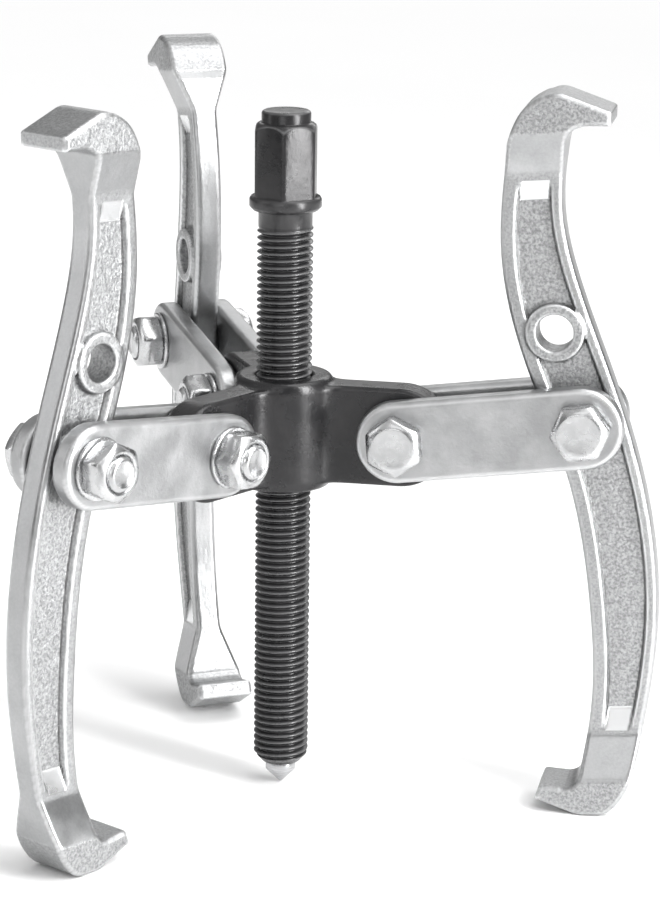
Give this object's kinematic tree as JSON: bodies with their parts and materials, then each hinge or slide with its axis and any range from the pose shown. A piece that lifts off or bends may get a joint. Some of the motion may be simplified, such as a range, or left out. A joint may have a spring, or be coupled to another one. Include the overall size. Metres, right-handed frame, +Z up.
{
  "type": "three-jaw gear puller",
  "caption": "Reversible jaw gear puller: a black forcing screw with a hexagon head in a three-armed yoke, whose double-strap links carry long forged jaws with hooks at both ends.",
  "frame": {"origin": "the point of the centre tip, on the screw's axis", "axes": "+Z up along the forcing screw towards its hexagon, +X outwards along arm 1, arms 2 and 3 at 120 and 240 degrees about +Z"},
  "size_m": [0.174, 0.195, 0.2106],
  "materials": {
    "black_oxide_steel": "black oxide, semi-gloss",
    "bright_steel": "ground",
    "forged_zinc_steel": "forged, shot-blasted and zinc plated, satin",
    "zinc_steel": "pressed and zinc plated, satin",
    "zinc_fastener": "zinc plated, bright"
  },
  "bodies": {
    "yoke": {"yoke": "black_oxide_steel"},
    "centre": {"centre_tip": "bright_steel", "thrust_ball": "bright_steel"},
    "screw": {"forcing_screw": "black_oxide_steel"},
    "link_1": {"strap_1_head_side": "zinc_steel", "strap_1_nut_side": "zinc_steel", "inner_bolt_1": "zinc_fastener", "outer_bolt_1": "zinc_fastener", "inner_washer_1": "zinc_fastener", "outer_washer_1": "zinc_fastener", "inner_nut_1": "zinc_fastener", "outer_nut_1": "zinc_fastener"},
    "jaw_1": {"jaw_1": "forged_zinc_steel"},
    "link_2": {"strap_2_head_side": "zinc_steel", "strap_2_nut_side": "zinc_steel", "inner_bolt_2": "zinc_fastener", "outer_bolt_2": "zinc_fastener", "inner_washer_2": "zinc_fastener", "outer_washer_2": "zinc_fastener", "inner_nut_2": "zinc_fastener", "outer_nut_2": "zinc_fastener"},
    "jaw_2": {"jaw_2": "forged_zinc_steel"},
    "link_3": {"strap_3_head_side": "zinc_steel", "strap_3_nut_side": "zinc_steel", "inner_bolt_3": "zinc_fastener", "outer_bolt_3": "zinc_fastener", "inner_washer_3": "zinc_fastener", "outer_washer_3": "zinc_fastener", "inner_nut_3": "zinc_fastener", "outer_nut_3": "zinc_fastener"},
    "jaw_3": {"jaw_3": "forged_zinc_steel"}
  },
  "joints": [
    {"name": "link_1_swing", "type": "hinge", "parent": "yoke", "child": "link_1", "pos_m": [0.0345, 0, 0.1084], "axis": [0, -1, 0], "range_deg": [-14.1, 22.9]},
    {"name": "jaw_1_swing", "type": "hinge", "parent": "link_1", "child": "jaw_1", "pos_m": [0.08701, 0, 0.11559], "axis": [0, -1, 0], "range_deg": [-21.2, 9.3]},
    {"name": "link_2_swing", "type": "hinge", "parent": "yoke", "child": "link_2", "pos_m": [-0.01725, 0.02988, 0.1084], "axis": [0.866, 0.5, 0], "range_deg": [-13.9, 23.1]},
    {"name": "jaw_2_swing", "type": "hinge", "parent": "link_2", "child": "jaw_2", "pos_m": [-0.04352, 0.07537, 0.11541], "axis": [0.866, 0.5, 0], "range_deg": [-9.1, 21.4]},
    {"name": "link_3_swing", "type": "hinge", "parent": "yoke", "child": "link_3", "pos_m": [-0.01725, -0.02988, 0.1084], "axis": [-0.866, 0.5, 0], "range_deg": [-14.1, 22.9]},
    {"name": "jaw_3_swing", "type": "hinge", "parent": "link_3", "child": "jaw_3", "pos_m": [-0.04351, -0.07535, 0.11559], "axis": [-0.866, 0.5, 0], "range_deg": [-19.1, 11.4]},
    {"name": "screw_advance", "type": "slide", "parent": "yoke", "child": "centre", "axis": [0, 0, 1], "range_m": [-0.046, 0.08]},
    {"name": "screw_spin", "type": "hinge", "parent": "centre", "child": "screw", "pos_m": [0, 0, 0.007], "axis": [0, 0, 1], "range_deg": [-8285, 14405]}
  ],
  "couplings": [
    {"joint": "screw_spin", "follows": "screw_advance", "rad_per_m": 3141.6}
  ]
}
